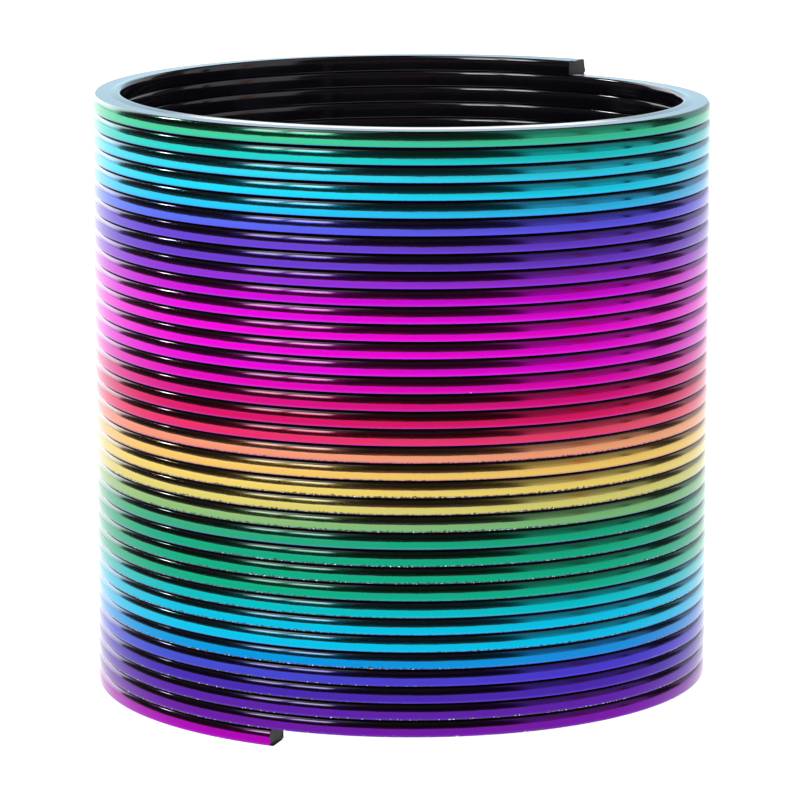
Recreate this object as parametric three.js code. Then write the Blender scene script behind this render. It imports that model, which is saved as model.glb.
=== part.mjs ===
// Spring coil toy: one moulded plastic ribbon wound into a closed left-hand helix.
// The toy works by twisting everywhere along that ribbon. Here the ribbon is divided where it
// crosses the X axis, into half turns that hinge about its own direction, and into the closed
// turns at each end that a hand holds. Lengths are in millimetres and +Z is up.
import * as THREE from 'three';

// Driving dimensions of the wound coil
const OUTER_DIAMETER = 75;
const PITCH = 2.02; // rise of the ribbon in one turn
const RIBBON_HEIGHT = 1.8; // leaves a slit of 0.22 between turns
const RIBBON_WIDTH = 3.5; // from the bore to the crest of the outer face
const FOOT_AZIMUTH = -114.2; // degrees, where the ribbon's lower end is cut
const HEAD_AZIMUTH = 51.2; // degrees, where its upper end is cut

// Rounding of the outer face, which is proudest a little below its middle
const CREST_HEIGHT = 0.5;
const SHOULDER = { inset: 0.1, height: 1.35 };
const TOP_EDGE_INSET = 0.3;
const BOTTOM_EDGE_INSET = 0.15;

// How the coil is divided
const HALF_TURNS = 52; // free half turns between the two closed ends
const BOTTOM_HALF_TURNS = 10; // whole half turns in the closed lower end
const TOP_HALF_TURNS = 8; // whole half turns in the closed upper end
const END_GAP = 0.3; // between the cut faces of neighbouring pieces
const FACETS_PER_HALF_TURN = 16;

const OUTER_RADIUS = OUTER_DIAMETER / 2;
const BORE_RADIUS = OUTER_RADIUS - RIBBON_WIDTH;
const MIDDLE_RADIUS = OUTER_RADIUS - RIBBON_WIDTH / 2;
const LEFT = -180; // degrees, azimuth of the -X side
const LOWER_PART_TURN = FOOT_AZIMUTH - LEFT; // degrees from the foot to the -X side
const UPPER_PART_TURN = 180 - HEAD_AZIMUTH; // degrees from the -X side to the head
const WOUND_DEGREES =
  LOWER_PART_TURN + 180 * (BOTTOM_HALF_TURNS + HALF_TURNS + TOP_HALF_TURNS) + UPPER_PART_TURN;
const COIL_HEIGHT = (WOUND_DEGREES / 360) * PITCH + RIBBON_HEIGHT;

// Film colours around the coil, from its foot to its head, as shares of the height
const RAINBOW = [
  [0.0, '#a800ac'],
  [0.04, '#6a1a9e'],
  [0.08, '#5028b0'],
  [0.12, '#3f3ccc'],
  [0.15, '#0a74d8'],
  [0.19, '#00b8e6'],
  [0.23, '#00b9bf'],
  [0.3, '#14aa7a'],
  [0.36, '#a0c86e'],
  [0.4, '#ead067'],
  [0.44, '#f0c862'],
  [0.48, '#f09673'],
  [0.52, '#e8205f'],
  [0.57, '#eb0078'],
  [0.61, '#e800cf'],
  [0.73, '#d200d2'],
  [0.77, '#7a30cc'],
  [0.81, '#5a3ed8'],
  [0.85, '#14a8e8'],
  [0.91, '#00d2f0'],
  [0.96, '#00cdc8'],
  [1.0, '#42cd91'],
];

/** The ribbon's centre line, between two angles wound up from the foot, in degrees. */
class CoilPath extends THREE.Curve {
  constructor(from, to) {
    super();
    this.from = from;
    this.to = to;
  }

  azimuthAt(t) {
    const wound = this.from + (this.to - this.from) * t;
    return THREE.MathUtils.degToRad(FOOT_AZIMUTH - wound);
  }

  getPoint(t, target = new THREE.Vector3()) {
    const azimuth = this.azimuthAt(t);
    const wound = this.from + (this.to - this.from) * t;
    const x = MIDDLE_RADIUS * Math.cos(azimuth);
    const y = MIDDLE_RADIUS * Math.sin(azimuth);
    return target.set(x, y, (wound / 360) * PITCH);
  }

  /** Frames that keep the section upright: one side points outwards and the other up. */
  computeFrenetFrames(segments) {
    const frames = { tangents: [], normals: [], binormals: [] };
    for (let i = 0; i <= segments; i += 1) {
      const azimuth = this.azimuthAt(i / segments);
      frames.tangents.push(new THREE.Vector3(Math.sin(azimuth), -Math.cos(azimuth), 0));
      frames.normals.push(new THREE.Vector3(Math.cos(azimuth), Math.sin(azimuth), 0));
      frames.binormals.push(new THREE.Vector3(0, 0, 1));
    }
    return frames;
  }
}

/** The ribbon's section: outwards from its middle along x, and up from its underside along y. */
function ribbonSection() {
  const bore = BORE_RADIUS - MIDDLE_RADIUS;
  const crest = OUTER_RADIUS - MIDDLE_RADIUS;
  return new THREE.Shape([
    new THREE.Vector2(bore, 0),
    new THREE.Vector2(crest - BOTTOM_EDGE_INSET, 0),
    new THREE.Vector2(crest, CREST_HEIGHT),
    new THREE.Vector2(crest - SHOULDER.inset, SHOULDER.height),
    new THREE.Vector2(crest - TOP_EDGE_INSET, RIBBON_HEIGHT),
    new THREE.Vector2(bore, RIBBON_HEIGHT),
  ]);
}

function ribbonGeometry(from, to) {
  const steps = Math.max(1, Math.round(((to - from) / 180) * FACETS_PER_HALF_TURN));
  return new THREE.ExtrudeGeometry(ribbonSection(), {
    steps,
    extrudePath: new CoilPath(from, to),
    bevelEnabled: false,
  });
}

/** The film's colour at a height, given as a share of the coil's height. */
function rainbowColour(share) {
  const above = Math.max(1, RAINBOW.findIndex(([stop]) => stop >= share));
  const [low, lowColour] = RAINBOW[above - 1];
  const [high, highColour] = RAINBOW[above];
  const blend = THREE.MathUtils.clamp((share - low) / (high - low), 0, 1);
  return new THREE.Color(lowColour).lerp(new THREE.Color(highColour), blend);
}

/** One piece of the ribbon, between two angles wound up from the foot, in degrees. */
function ribbonPiece(name, from, to) {
  const middle = ((from + to) / 720) * PITCH + RIBBON_HEIGHT / 2;
  const material = new THREE.MeshStandardMaterial({
    color: rainbowColour(middle / COIL_HEIGHT),
    roughness: 0.2,
    metalness: 0.9,
  });
  const mesh = new THREE.Mesh(ribbonGeometry(from, to), material);
  mesh.name = name;
  return mesh;
}

const coil = new THREE.Group();
const halfGap = THREE.MathUtils.radToDeg(END_GAP / 2 / MIDDLE_RADIUS);
const firstCut = LOWER_PART_TURN + 180 * BOTTOM_HALF_TURNS;
const lastCut = firstCut + 180 * HALF_TURNS;

coil.add(ribbonPiece('bottom_turns', 0, firstCut - halfGap));
for (let i = 0; i < HALF_TURNS; i += 1) {
  const from = firstCut + 180 * i;
  const name = `half_turn_${String(i + 1).padStart(2, '0')}`;
  coil.add(ribbonPiece(name, from + halfGap, from + 180 - halfGap));
}
coil.add(ribbonPiece('top_turns', lastCut + halfGap, WOUND_DEGREES));

export default coil;
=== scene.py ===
"""A spring coil toy: one black plastic ribbon wound into a closed helix, with a rainbow metallised film
on its outer face. The ribbon is built as lengths of half a turn. Each length crosses one hinge of the
frame.

Lengths are in millimetres until a mesh is made, and +Z is up.
"""

import math
import random

import bpy
import numpy as np
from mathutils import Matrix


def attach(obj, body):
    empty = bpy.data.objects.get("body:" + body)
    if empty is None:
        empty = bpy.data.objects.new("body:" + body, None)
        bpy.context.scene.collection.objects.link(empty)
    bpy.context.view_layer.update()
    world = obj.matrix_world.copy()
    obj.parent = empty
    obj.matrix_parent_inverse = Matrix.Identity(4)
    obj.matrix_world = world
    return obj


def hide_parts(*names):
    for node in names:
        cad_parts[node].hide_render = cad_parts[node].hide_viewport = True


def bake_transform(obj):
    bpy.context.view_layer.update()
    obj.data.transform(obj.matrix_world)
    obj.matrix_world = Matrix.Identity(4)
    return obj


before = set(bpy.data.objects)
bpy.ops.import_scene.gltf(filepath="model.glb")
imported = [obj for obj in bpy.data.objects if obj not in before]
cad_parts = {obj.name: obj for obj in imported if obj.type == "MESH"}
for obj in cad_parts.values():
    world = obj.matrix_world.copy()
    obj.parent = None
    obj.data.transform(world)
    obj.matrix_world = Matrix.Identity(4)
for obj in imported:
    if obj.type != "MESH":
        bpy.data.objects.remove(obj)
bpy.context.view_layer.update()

# The coil as wound
MM = 0.001
OUTER_RADIUS = 37.5
BORE_RADIUS = 34.0
PITCH = 2.02  # rise of the ribbon in one turn
RIBBON_HEIGHT = 1.8
FOOT_AZIMUTH = -114.2  # degrees, where the ribbon's lower end is cut
HEAD_AZIMUTH = 51.2  # degrees, where its upper end is cut
HALF_TURN = 180.0
FREE_HALF_TURNS = 52
BOTTOM_HALF_TURNS = 10
TOP_HALF_TURNS = 8
FIRST_HINGE = FOOT_AZIMUTH + HALF_TURN + HALF_TURN * BOTTOM_HALF_TURNS  # degrees wound from the foot
LAST_HINGE = FIRST_HINGE + HALF_TURN * FREE_HALF_TURNS
WOUND_DEGREES = LAST_HINGE + HALF_TURN * TOP_HALF_TURNS + HALF_TURN - HEAD_AZIMUTH

# The ribbon's section: (length along the face in mm, direction that the face looks in degrees up from
# outwards). The outer face is upright up to a crest below its middle, and leans in above it. The top
# is nearly level, and then slopes up to the bore, where it nearly meets the turn above.
OUTER_FACE = (
    (0, -90),
    (0.04, -55),
    (0.10, -9),
    (0.36, -1.5),
    (0.80, 3.5),
    (1.05, 8.8),
    (1.20, 14),
    (1.44, 22),
    (1.56, 31),
    (1.70, 40),
    (1.80, 55),
    (1.88, 84),
    (1.96, 89),
)
INNER_FACE = (
    (0, 88),
    (0.10, 80),
    (0.75, 81),
    (0.92, 90),
    (1.08, 98),
    (1.22, 125),
    (1.36, 142),
    (1.46, 157),
    (1.62, 170),
    (1.90, 177),
    (2.80, 182),
    (2.93, 270),
)
BORE_LIFT = 0.19  # how much higher the ribbon's bore side is than at its head
LIFT_FADE = 60.0  # degrees before the head over which it comes down
LARGEST_TURN_OF_FACE = 12.0  # degrees between neighbouring points of the section
STEP_ALONG = 2.5  # degrees between sections

# How far single turns sit out of line with their neighbours
WANDER = 0.035
SEED = 596

# The two ends, cut off with side cutters
CUT_ROUGHNESS = 0.12
CUT_BURR = 0.45
CUT_DROP = 0.19  # how far the head's cut bends its underside down, at the outer edge
UNDERSIDE = 0.1  # height in the section below which a point is on its underside

# The film covers the outer face between two lengths along it, and its edges are ragged
LOWER_EDGE = 0.09
UPPER_EDGE = 1.80
LOWER_EDGE_BLUR = 0.02
UPPER_EDGE_BLUR = 0.04
CREST_REFLECTANCE = 0.78  # share of its colour that the film reflects on the crest
SHOULDER_REFLECTANCE = (0.50, 0.13)  # the same above the crest, in general and at the front left, where the colour is darkened further as painted shade
PAINTED_SHADE_AZIMUTH = -113.0  # degrees, the middle of the front-left side where the film's colour above the crest is darkened most, as painted shade where the left softbox's reflection falls seen from the front
FILM_AT_TOP = 0.7  # share of its reflectance above the crest that the film keeps at its top edge
LACQUER = (0.18, 1.0)  # how much clear lacquer covers the film above the crest, on the right and left

# Film colours at the front, by turn counted down from the top one
RAINBOW = (
    (1, "39BE8E"),
    (2, "12C3BE"),
    (3, "28C8E0"),
    (4, "14CAE6"),
    (5, "1EB8E4"),
    (6, "5450DC"),
    (7, "6039BE"),
    (8, "6036BC"),
    (9, "8828C6"),
    (10, "C400C8"),
    (11, "D600CC"),
    (12, "E000C6"),
    (14, "D600C6"),
    (15, "D400AA"),
    (16, "CC0A74"),
    (17, "CC105C"),
    (18, "DC2A62"),
    (19, "E69470"),
    (20, "E8BE60"),
    (21, "E2C866"),
    (22, "D2C66A"),
    (23, "78B070"),
    (24, "109E76"),
    (27, "08A47C"),
    (28, "00B6BC"),
    (29, "00B8DA"),
    (30, "00BAE0"),
    (31, "008ED6"),
    (32, "4438C4"),
    (33, "4426A6"),
    (35, "6A18A0"),
    (36, "B000B4"),
)
FRONT_AZIMUTH = -90.0


def linear(code):
    """The linear colour of a display colour written as six hexadecimal digits."""
    channels = [int(code[i : i + 2], 16) / 255 for i in (0, 2, 4)]
    return tuple(c / 12.92 if c <= 0.04045 else ((c + 0.055) / 1.055) ** 2.4 for c in channels) + (1,)


# Geometry -------------------------------------------------------------------------------------------


def face_points(stops):
    """Points along a face from (length, direction) stops, as rows of (out, up, direction, length)."""
    out = up = 0.0
    rows = [(out, up, stops[0][1], stops[0][0])]
    for (start, before), (end, after) in zip(stops, stops[1:]):
        parts = max(1, math.ceil(abs(after - before) / LARGEST_TURN_OF_FACE))
        for i in range(1, parts + 1):
            middle = math.radians(before + (after - before) * (i - 0.5) / parts)
            step = (end - start) / parts
            out -= math.sin(middle) * step
            up += math.cos(middle) * step
            rows.append((out, up, before + (after - before) * i / parts, start + (end - start) * i / parts))
    return np.array(rows)


def ribbon_section():
    """The closed outline of the ribbon, anticlockwise, as rows of (radius, height, direction, length)."""
    outer = face_points(OUTER_FACE)
    inner = face_points(INNER_FACE)
    outer[:, 1] *= RIBBON_HEIGHT / outer[-1, 1]
    outer[:, 0] += OUTER_RADIUS - outer[:, 0].max()
    inner[:, 1] -= inner[-1, 1]
    inner[:, 1] *= RIBBON_HEIGHT / inner[:, 1].max()
    inner[:, 0] += BORE_RADIUS - inner[:, 0].min()
    top_width = outer[-1, 0] - inner[0, 0]
    inner[:, 3] += outer[-1, 3] + top_width
    return np.vstack([outer, inner])


SECTION = ribbon_section()
TOP_INNER_END = SECTION[len(face_points(OUTER_FACE)), 0]  # radius where the level part of the top ends
BORE_SIDE = np.clip((SECTION[0, 0] - SECTION[:, 0]) / (SECTION[0, 0] - TOP_INNER_END), 0, 1)
SECTION_LENGTH = SECTION[-1, 3] + SECTION[0, 0] - SECTION[-1, 0]


def wander(wound):
    """How far the ribbon sits outwards of its place, which drifts smoothly along it."""
    draw = random.Random(SEED)
    total = np.zeros_like(wound)
    for _ in range(6):
        turns = draw.uniform(0.6, 3.4)
        total += np.sin(wound / 360 / turns * math.tau + draw.uniform(0, math.tau))
    return WANDER * (np.tanh(total / 2.4) - 1)


def bore_lift(wound):
    """How far the ribbon's bore side is raised: everywhere alike, but less and less close to its head."""
    return BORE_LIFT * np.clip((WOUND_DEGREES - wound) / LIFT_FADE, 0, 1)


def torn():
    """How far each point of a cut end sticks out along the ribbon, with a burr at the foot of the face."""
    draw = random.Random(SEED)
    out = np.array([draw.uniform(-CUT_ROUGHNESS, CUT_ROUGHNESS) for _ in SECTION])
    out[:2] += CUT_BURR
    return out / OUTER_RADIUS


def ribbon_points(wound, cut_start, cut_end):
    """The section's points at every angle wound, indexed by section, point and coordinate."""
    azimuth = np.radians(FOOT_AZIMUTH - wound)
    radius = SECTION[None, :, 0] + wander(wound)[:, None]
    raised = SECTION[None, :, 1] * BORE_SIDE * bore_lift(wound)[:, None] / RIBBON_HEIGHT
    height = SECTION[None, :, 1] + raised + (wound / 360 * PITCH)[:, None]
    place = np.repeat(azimuth[:, None], len(SECTION), axis=1)
    if cut_start:
        place[0] += torn()
    if cut_end:
        place[-1] -= torn()
        outwards = (SECTION[:, 0] - BORE_RADIUS) / (OUTER_RADIUS - BORE_RADIUS)
        height[-1] -= CUT_DROP * (SECTION[:, 1] < UNDERSIDE) * outwards
    return np.stack([radius * np.cos(place), radius * np.sin(place), height], axis=-1)


def ribbon_normals(azimuth):
    """The directions that the faces look at every point, indexed like ribbon_points()."""
    tilt = np.radians(SECTION[None, :, 2])
    return np.stack(
        [
            np.cos(tilt) * np.cos(azimuth)[:, None],
            np.cos(tilt) * np.sin(azimuth)[:, None],
            np.sin(tilt) * np.ones_like(azimuth)[:, None],
        ],
        axis=-1,
    )


def ribbon_faces(steps):
    """Faces of four points between neighbouring sections, and then the start's and the end's face."""
    around = len(SECTION)
    faces = []
    for i in range(steps):
        for j in range(around):
            k = (j + 1) % around
            faces.append((i * around + j, i * around + k, (i + 1) * around + k, (i + 1) * around + j))
    faces.append(tuple(reversed(range(around))))
    faces.append(tuple(steps * around + j for j in range(around)))
    return faces


def add_ribbon_attributes(mesh, wound):
    """Gives points their length along the ribbon and their share of the height it winds up, and corners
    their length around the section."""
    around = len(SECTION)
    along = mesh.attributes.new("along", "FLOAT", "POINT")
    along.data.foreach_set("value", np.repeat(np.radians(wound) * OUTER_RADIUS, around).astype(np.float32))
    share = mesh.attributes.new("height_share", "FLOAT", "POINT")
    share.data.foreach_set("value", np.repeat(wound / WOUND_DEGREES, around).astype(np.float32))
    lengths = np.append(SECTION[:, 3], SECTION_LENGTH)
    one_row = np.stack([lengths[:-1], lengths[1:], lengths[1:], lengths[:-1]], axis=-1).ravel()
    ends = [SECTION[::-1, 3], SECTION[:, 3]]
    across_values = np.concatenate([np.tile(one_row, len(wound) - 1), *ends])
    across = mesh.attributes.new("across", "FLOAT", "CORNER")
    across.data.foreach_set("value", across_values.astype(np.float32))


def set_ribbon_normals(mesh, azimuth):
    """Sets every corner's normal, which on the two end faces is the ribbon's own direction."""
    around = len(SECTION)
    points = np.zeros(len(mesh.loops), int)
    mesh.loops.foreach_get("vertex_index", points)
    normals = ribbon_normals(azimuth).reshape(-1, 3)[points]
    tangents = np.stack([np.sin(azimuth), -np.cos(azimuth), np.zeros_like(azimuth)], axis=-1)
    normals[-2 * around : -around] = -tangents[0]
    normals[-around:] = tangents[-1]
    mesh.normals_split_custom_set(normals.tolist())


def ribbon_mesh(name, start, end, materials, cut_start=False, cut_end=False):
    """One length of the ribbon, between two angles wound from the foot, as a closed mesh.

    Its attributes place materials on the ribbon, so that they keep their place when it bends."""
    steps = max(2, round((end - start) / STEP_ALONG))
    wound = np.linspace(start, end, steps + 1)
    points = ribbon_points(wound, cut_start, cut_end).reshape(-1, 3) * MM
    faces = ribbon_faces(steps)

    mesh = bpy.data.meshes.new(name)
    mesh.from_pydata(points.tolist(), [], faces)
    for material in materials:
        mesh.materials.append(material)
    mesh.shade_smooth()
    add_ribbon_attributes(mesh, wound)
    set_ribbon_normals(mesh, np.radians(FOOT_AZIMUTH - wound))
    mesh.polygons[len(faces) - 2].material_index = 1 if cut_start else 0
    mesh.polygons[len(faces) - 1].material_index = 1 if cut_end else 0

    piece = bpy.data.objects.new(name, mesh)
    bpy.context.scene.collection.objects.link(piece)
    return piece


# Materials ------------------------------------------------------------------------------------------


class Graph:
    """Adds nodes to a node tree. An input is a number, a colour or another node's output."""

    def __init__(self, tree):
        self.tree = tree
        tree.nodes.clear()

    def add(self, kind, inputs=None, **settings):
        node = self.tree.nodes.new("ShaderNode" + kind)
        for name, value in settings.items():
            setattr(node, name, value)
        for name, value in (inputs or {}).items():
            if isinstance(value, bpy.types.NodeSocket):
                self.tree.links.new(value, node.inputs[name])
            else:
                node.inputs[name].default_value = value
        return node

    def math(self, operation, *values):
        return self.add("Math", dict(enumerate(values)), operation=operation).outputs[0]

    def step(self, value, low, high):
        """0 below low, 1 above high and smooth between them. It falls instead where low is above high."""
        inputs = {"Value": value, "From Min": low, "From Max": high}
        return self.add("MapRange", inputs, interpolation_type="SMOOTHSTEP").outputs["Result"]

    def mix(self, share, first, second):
        inputs = {0: share, 6: first, 7: second}
        return self.add("Mix", inputs, data_type="RGBA").outputs[2]

    def blend(self, share, first, second):
        """The number that is first at share 0 and second at share 1."""
        return self.add("Mix", {0: share, 2: first, 3: second}, data_type="FLOAT").outputs[0]

    def noise(self, vector, scale, detail=2.0, roughness=0.5):
        inputs = {"Vector": vector, "Scale": scale, "Detail": detail, "Roughness": roughness}
        return self.add("TexNoise", inputs).outputs["Fac"]


def ribbon_coordinates(graph):
    """The attributes that place a point on the ribbon, and them joined as one vector in millimetres."""
    along = graph.add("Attribute", attribute_name="along").outputs["Fac"]
    across = graph.add("Attribute", attribute_name="across").outputs["Fac"]
    share = graph.add("Attribute", attribute_name="height_share").outputs["Fac"]
    place = graph.add("CombineXYZ", {"X": along, "Y": across}).outputs[0]
    return along, across, share, place


def stretched(graph, along, across, scale_along, scale_across):
    """A vector for patterns that run along the ribbon or across it."""
    x = graph.math("MULTIPLY", along, scale_along)
    y = graph.math("MULTIPLY", across, scale_across)
    return graph.add("CombineXYZ", {"X": x, "Y": y}).outputs[0]


def rainbow(graph, share):
    """The film's colour at a share of the coil's height."""
    ramp = graph.add("ValToRGB", {"Fac": share})
    first_front = (FOOT_AZIMUTH - FRONT_AZIMUTH) % 360  # angle wound when the ribbon is first at the front
    front_turns = math.floor((WOUND_DEGREES - first_front) / 360)
    stops = []
    for turn, code in RAINBOW:
        wound = first_front + 360 * (front_turns + 1 - turn)
        stops.append((max(0.0, wound / WOUND_DEGREES), linear(code)))
    stops.sort(key=lambda stop: stop[0])
    elements = ramp.color_ramp.elements
    while len(elements) < len(stops):
        elements.new(0.5)
    for element, (position, colour) in zip(elements, stops):
        element.position = position
        element.color = colour
    return ramp.outputs["Color"]


PLASTIC = (0.004, 0.0035, 0.006, 1)
SCUFFED_PLASTIC = (0.012, 0.012, 0.016, 1)
CUT_PLASTIC = (0.014, 0.013, 0.015, 1)
STRESSED_PLASTIC = (0.060, 0.055, 0.060, 1)
BARE_METAL = (0.95, 0.95, 0.97, 1)
BLUISH = (0.20, 0.08, 0.75, 1)
DUST = (0.7, 0.7, 0.7, 1)
BLACK = (0, 0, 0, 1)
WHITE = (1, 1, 1, 1)


def ribbon_material():
    """Gloss black plastic, with the tinted metal film over the outer face."""
    material = bpy.data.materials.new("metallised_ribbon")
    material.use_nodes = True
    graph = Graph(material.node_tree)
    along, across, share, place = ribbon_coordinates(graph)

    # The film's edges: fine teeth everywhere, and longer bites where the film took badly
    patches = graph.noise(stretched(graph, along, share, 0.02, 26.0), 1.0, 1)
    badly = graph.math("MULTIPLY", graph.step(patches, 0.36, 0.56), graph.step(share, 0.56, 0.40))
    teeth = graph.noise(stretched(graph, along, across, 2.4, 0.8), 1.0, 3, 0.6)
    bites = graph.math("MULTIPLY", graph.math("SUBTRACT", teeth, 0.42), graph.blend(badly, 0.10, 0.95))
    bites = graph.math("MAXIMUM", bites, -0.02)
    lower = graph.math("SUBTRACT", across, bites)
    above_lower = graph.step(lower, LOWER_EDGE - LOWER_EDGE_BLUR, LOWER_EDGE + LOWER_EDGE_BLUR)
    upper_teeth = graph.noise(stretched(graph, along, across, 3.0, 1.5), 1.0, 3, 0.7)
    upper_reach = graph.blend(badly, 0.15, 0.45)
    upper_offset = graph.math("MULTIPLY", graph.math("SUBTRACT", upper_teeth, 0.5), upper_reach)
    upper = graph.math("ADD", across, upper_offset)
    below_upper = graph.step(upper, UPPER_EDGE + UPPER_EDGE_BLUR, UPPER_EDGE - UPPER_EDGE_BLUR)
    film = graph.math("MULTIPLY", above_lower, below_upper)

    # Loose flakes of bare metal along the bitten edge
    flakes = graph.step(graph.noise(place, 5.0, 1), 0.64, 0.68)
    flakes = graph.math("MULTIPLY", flakes, graph.step(across, 0.26, 0.20))
    flakes = graph.math("MULTIPLY", flakes, graph.step(across, 0.02, 0.06))
    flakes = graph.math("MULTIPLY", flakes, graph.blend(badly, 0.25, 1.0))
    flakes = graph.math("MULTIPLY", flakes, graph.math("SUBTRACT", 1.0, film))
    film = graph.math("ADD", film, flakes)

    # The film is thinner on the shoulder and has pinholes. At the coil's front left its colour there is
    # darkened further, as painted shade that makes the left softbox's reflection look pale
    wound = graph.math("DIVIDE", along, OUTER_RADIUS)
    azimuth = graph.math("SUBTRACT", math.radians(FOOT_AZIMUTH), wound)
    # Painted shade: the shoulder's colour is darkest around this front-left azimuth
    from_painted_shade = graph.math("SUBTRACT", azimuth, math.radians(PAINTED_SHADE_AZIMUTH))
    painted_shade_side = graph.step(graph.math("COSINE", from_painted_shade), 0.68, 0.88)
    on_shoulder = graph.blend(painted_shade_side, *SHOULDER_REFLECTANCE)
    reflectance = graph.blend(graph.step(across, 1.05, 1.38), CREST_REFLECTANCE, on_shoulder)
    at_top = graph.blend(graph.step(across, 1.44, 1.62), 1.0, FILM_AT_TOP)
    reflectance = graph.math("MULTIPLY", reflectance, at_top)
    film = graph.math("MULTIPLY", film, graph.step(graph.noise(place, 7.0, 1), 0.20, 0.25))

    # Dust
    specks = graph.add("TexVoronoi", {"Vector": place, "Scale": 0.09}).outputs["Distance"]
    dust = graph.step(specks, 0.007, 0.004)
    film = graph.math("MULTIPLY", film, graph.math("SUBTRACT", 1.0, dust))

    # Colour: the rainbow, a little uneven, bluer at its lower edge
    uneven = graph.math("MULTIPLY", graph.math("SUBTRACT", graph.noise(place, 0.08, 2), 0.5), 0.006)
    tint = rainbow(graph, graph.math("ADD", share, uneven))
    bluish = graph.math("MULTIPLY", graph.step(across, 0.36, 0.12), 0.35)
    tint = graph.mix(bluish, tint, BLUISH)
    tint = graph.mix(reflectance, BLACK, tint)
    tint = graph.mix(flakes, tint, BARE_METAL)
    plastic = graph.mix(graph.step(graph.noise(place, 3.0, 2), 0.7, 0.8), PLASTIC, SCUFFED_PLASTIC)
    plastic = graph.mix(dust, plastic, DUST)
    colour = graph.mix(film, plastic, tint)

    # Gloss: fine scratches along the ribbon, clear lacquer over the shoulder, and a faint ripple
    scratches = graph.noise(stretched(graph, along, across, 0.25, 22.0), 1.0, 2)
    crest_rough = graph.blend(scratches, 0.05, 0.13)
    shoulder_rough = graph.blend(scratches, 0.10, 0.26)
    film_rough = graph.blend(graph.step(across, 0.95, 1.25), crest_rough, shoulder_rough)
    plastic_rough = graph.blend(scratches, 0.04, 0.13)
    roughness = graph.blend(film, plastic_rough, film_rough)
    left = graph.step(graph.math("COSINE", azimuth), 0.45, 0.05)
    lacquer = graph.blend(graph.step(across, 1.15, 1.40), 0.05, graph.blend(left, *LACQUER))
    lacquer = graph.math("MULTIPLY", lacquer, graph.step(film, 0.1, 0.3))
    ripple = graph.noise(stretched(graph, along, across, 0.5, 2.0), 1.0, 2)
    grain = graph.noise(place, 12.0, 2)
    height = graph.math("ADD", ripple, graph.math("MULTIPLY", grain, 0.05))
    height = graph.math("ADD", height, graph.math("MULTIPLY", film, 0.12))
    bump = graph.add("Bump", {"Height": height, "Strength": 0.25, "Distance": 0.00002}).outputs["Normal"]

    shader = graph.add(
        "BsdfPrincipled",
        {
            "Base Color": colour,
            "Metallic": film,
            "Roughness": roughness,
            "Normal": bump,
            "IOR": 1.65,
            "Coat Weight": lacquer,
            "Coat Roughness": 0.03,
            "Coat IOR": 1.5,
        },
    )
    graph.add("OutputMaterial", {"Surface": shader.outputs[0]})
    return material


def cut_material():
    """The matt, torn plastic of the ribbon's two cut ends."""
    material = bpy.data.materials.new("cut_plastic")
    material.use_nodes = True
    graph = Graph(material.node_tree)
    place = graph.add("TexCoord").outputs["Object"]
    coarse = graph.noise(place, 2200.0, 3, 0.6)
    fine = graph.noise(place, 7000.0, 2, 0.6)
    colour = graph.mix(coarse, CUT_PLASTIC, STRESSED_PLASTIC)
    height = graph.math("ADD", coarse, graph.math("MULTIPLY", fine, 0.4))
    bump = graph.add("Bump", {"Height": height, "Strength": 0.8, "Distance": 0.0001}).outputs["Normal"]
    shader = graph.add(
        "BsdfPrincipled",
        {"Base Color": colour, "Roughness": graph.blend(fine, 0.5, 0.8), "Normal": bump},
    )
    graph.add("OutputMaterial", {"Surface": shader.outputs[0]})
    return material


FLOOR_GLOW = (1.22, 0.70)  # strength at the left and at the right
GLOW_CHANGES_WITHIN = 0.7  # metres to either side, beyond which it stays the same


def floor_material():
    """White acrylic lit from below, more strongly on the left, as on a light table."""
    material = bpy.data.materials.new("pale_floor")
    material.use_nodes = True
    graph = Graph(material.node_tree)
    place = graph.add("TexCoord").outputs["Object"]
    colour = graph.mix(graph.noise(place, 40.0, 3), (0.43, 0.43, 0.43, 1), (0.45, 0.45, 0.45, 1))
    across = graph.add("SeparateXYZ", {0: place}).outputs["X"]
    glow = graph.blend(graph.step(across, -GLOW_CHANGES_WITHIN, GLOW_CHANGES_WITHIN), *FLOOR_GLOW)
    shader = graph.add(
        "BsdfPrincipled",
        {
            "Base Color": colour,
            "Roughness": 0.9,
            "Specular IOR Level": 0.1,
            "Emission Color": WHITE,
            "Emission Strength": glow,
        },
    )
    graph.add("OutputMaterial", {"Surface": shader.outputs[0]})
    return material


# The coil -------------------------------------------------------------------------------------------


def build_coil():
    """The ribbon from its foot to its head: the closed end turns, and a length over every hinge."""
    materials = [ribbon_material(), cut_material()]
    quarter = HALF_TURN / 2
    bodies = ["bottom_turns"]
    bodies += [f"half_turn_{i:02d}" for i in range(1, FREE_HALF_TURNS + 1)]
    bodies.append("top_turns")

    bottom = ribbon_mesh("ribbon_bottom_turns", 0, FIRST_HINGE - quarter, materials, cut_start=True)
    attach(bottom, "bottom_turns")
    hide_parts("bottom_turns")

    for i, (below, above) in enumerate(zip(bodies, bodies[1:])):
        hinge = FIRST_HINGE + HALF_TURN * i
        name = "ribbon_below_top_turns" if above == "top_turns" else "ribbon_" + above
        length = ribbon_mesh(name, hinge - quarter, hinge + quarter, materials)
        # The body below a hinge is at the front of those on the left, and at the back on the right
        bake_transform(length)
        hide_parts(above)

    top = ribbon_mesh("ribbon_top_turns", LAST_HINGE + quarter, WOUND_DEGREES, materials, cut_end=True)
    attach(top, "top_turns")
    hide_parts("top_turns")


# Studio ---------------------------------------------------------------------------------------------

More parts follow.
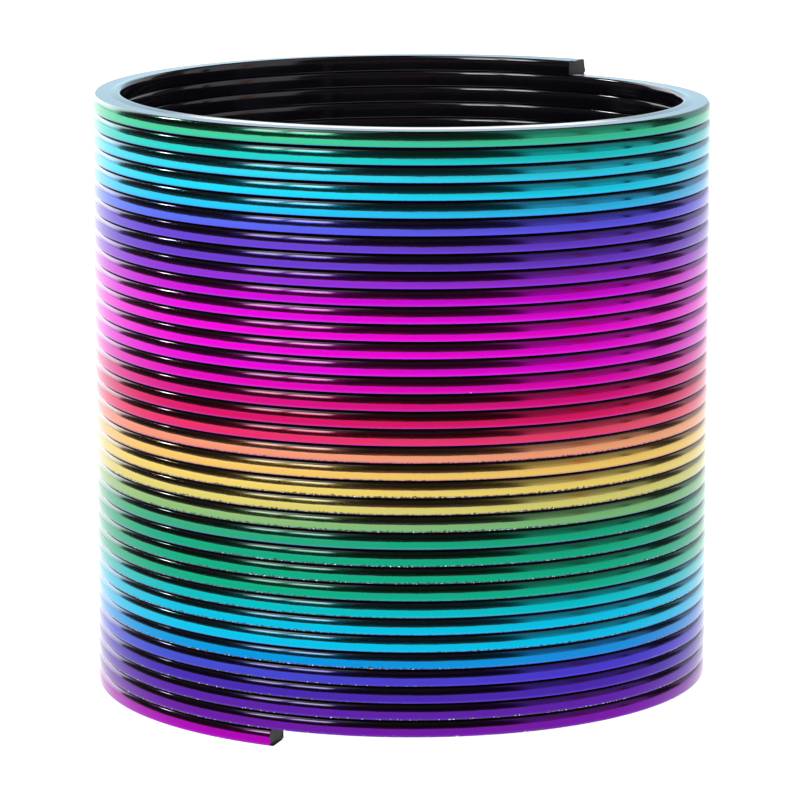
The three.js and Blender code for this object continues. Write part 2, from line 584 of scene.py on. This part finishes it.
# What the gloss surfaces see above the floor: (name, azimuth and elevation of its middle, half width and
# half height, softness, brightness), in degrees. Azimuth 0 is the coil's front, and 90 its right. A later
# row hides the ones before it.
SURROUND = (0.058, 0.040, 0.036)
STUDIO = (
    ("upper room", 0, 46, 360, 18, 14, (0.14, 0.10, 0.10)),
    ("ceiling", 0, 90, 360, 26, 10, (0.03, 0.03, 0.03)),
    ("glow over the floor", 0, 2, 180, 4, 8, (0.15, 0.12, 0.12)),
    ("right wall", 77, 20, 31, 50, 8, (0.66, 0.64, 0.66)),
    ("glow above the softbox", -44, 58, 22, 18, 16, (0.60, 0.60, 0.62)),
    ("glow above the softbox, far half", -60, 50, 12, 14, 12, (2.6, 2.6, 2.65)),
    ("left softbox, near half", -36, 30, 8, 7, 5, (9.0, 9.0, 9.1)),
    ("left softbox, far half", -55, 30, 7, 7, 5, (9.0, 9.0, 9.1)),
    ("strip light", -114, 36, 2.6, 4.5, 3, (42.0, 42.0, 42.8)),
    ("warm glow", -6, 3, 7, 4, 6, (0.30, 0.10, 0.12)),
    ("warm card", 70, 15, 3, 12, 3, (0.70, 0.28, 0.22)),
    ("stand", 91, 6, 2, 8, 3, (0.05, 0.05, 0.05)),
    ("second stand", 107, 6, 2, 8, 3, (0.05, 0.05, 0.05)),
    ("backdrop, left", -155, 0, 26, 36, 3, (1.35, 1.38, 1.52)),
    ("backdrop, right", 155, 0, 26, 32, 3, (0.76, 0.76, 0.86)),
    ("backdrop, left, lit from above", -148, 17, 15, 12, 8, (2.2, 2.2, 2.35)),
    ("backdrop, middle", 180, 5, 10, 14, 5, (0.86, 1.22, 1.45)),
    ("lamp behind", 180, 28, 14, 8, 4, (4.2, 4.2, 4.3)),
)


def build_world():
    """A white surround for the camera and for diffuse light, and a studio in the gloss reflections."""
    world = bpy.data.worlds.new("studio")
    world.use_nodes = True
    bpy.context.scene.world = world
    world.cycles.sampling_method = "NONE"
    graph = Graph(world.node_tree)
    direction = graph.add("SeparateXYZ", {0: graph.add("TexCoord").outputs["Generated"]}).outputs
    back = graph.math("MULTIPLY", direction["Y"], -1.0)
    azimuth = graph.math("DEGREES", graph.math("ARCTAN2", direction["X"], back))
    elevation = graph.math("DEGREES", graph.math("ARCSINE", direction["Z"]))
    seen = (*SURROUND, 1)
    for _, middle, raised, half_width, half_height, soft, colour in STUDIO:
        aside = graph.math("PINGPONG", graph.math("SUBTRACT", azimuth, float(middle)), 180.0)
        above = graph.math("ABSOLUTE", graph.math("SUBTRACT", elevation, float(raised)))
        wide = graph.step(aside, half_width + soft / 2, half_width - soft / 2)
        high = graph.step(above, half_height + soft / 2, half_height - soft / 2)
        seen = graph.mix(graph.math("MULTIPLY", wide, high), seen, (*colour, 1))
    gloss = graph.add("LightPath").outputs["Is Glossy Ray"]
    colour = graph.mix(gloss, WHITE, seen)
    shader = graph.add("Background", {"Color": colour, "Strength": 1.0})
    graph.add("OutputWorld", {"Surface": shader.outputs[0]})


FLOOR_HALF_SIZE = 6.0  # metres
FLOOR_DROP = 0.05  # how far the floor is below the foot


def build_floor():
    """A large level square just under the coil."""
    half = FLOOR_HALF_SIZE
    z = -FLOOR_DROP * MM
    corners = [(-half, -half, z), (half, -half, z), (half, half, z), (-half, half, z)]
    mesh = bpy.data.meshes.new("floor")
    mesh.from_pydata(corners, [], [(0, 1, 2, 3)])
    mesh.materials.append(floor_material())
    floor = bpy.data.objects.new("floor", mesh)
    bpy.context.scene.collection.objects.link(floor)


def build_light():
    """One large soft light overhead, a little to the left and in front."""
    data = bpy.data.lights.new("overhead", "AREA")
    data.shape = "DISK"
    data.size = 0.9
    data.energy = 2.0
    light = bpy.data.objects.new("overhead", data)
    light.location = (-0.5, -0.35, 1.4)
    light.rotation_euler = (0.25, -0.34, 0)
    bpy.context.scene.collection.objects.link(light)


# Camera: on the coil's front, looking down a little
CAMERA_TILT = 10.61  # degrees below level
CAMERA_LENS = 192.2
CAMERA_PLACE = (-0.0002, -0.5161, 0.1313)


def build_camera():
    """The camera, with its lens and place in metres."""
    data = bpy.data.cameras.new("camera")
    data.lens = CAMERA_LENS
    data.sensor_width = 36.0
    camera = bpy.data.objects.new("camera", data)
    camera.location = CAMERA_PLACE
    camera.rotation_euler = (math.radians(90 - CAMERA_TILT), 0, 0)
    bpy.context.scene.collection.objects.link(camera)
    bpy.context.scene.camera = camera


build_camera()
build_coil()
build_floor()
build_world()
build_light()
bpy.context.scene.view_settings.view_transform = "Standard"
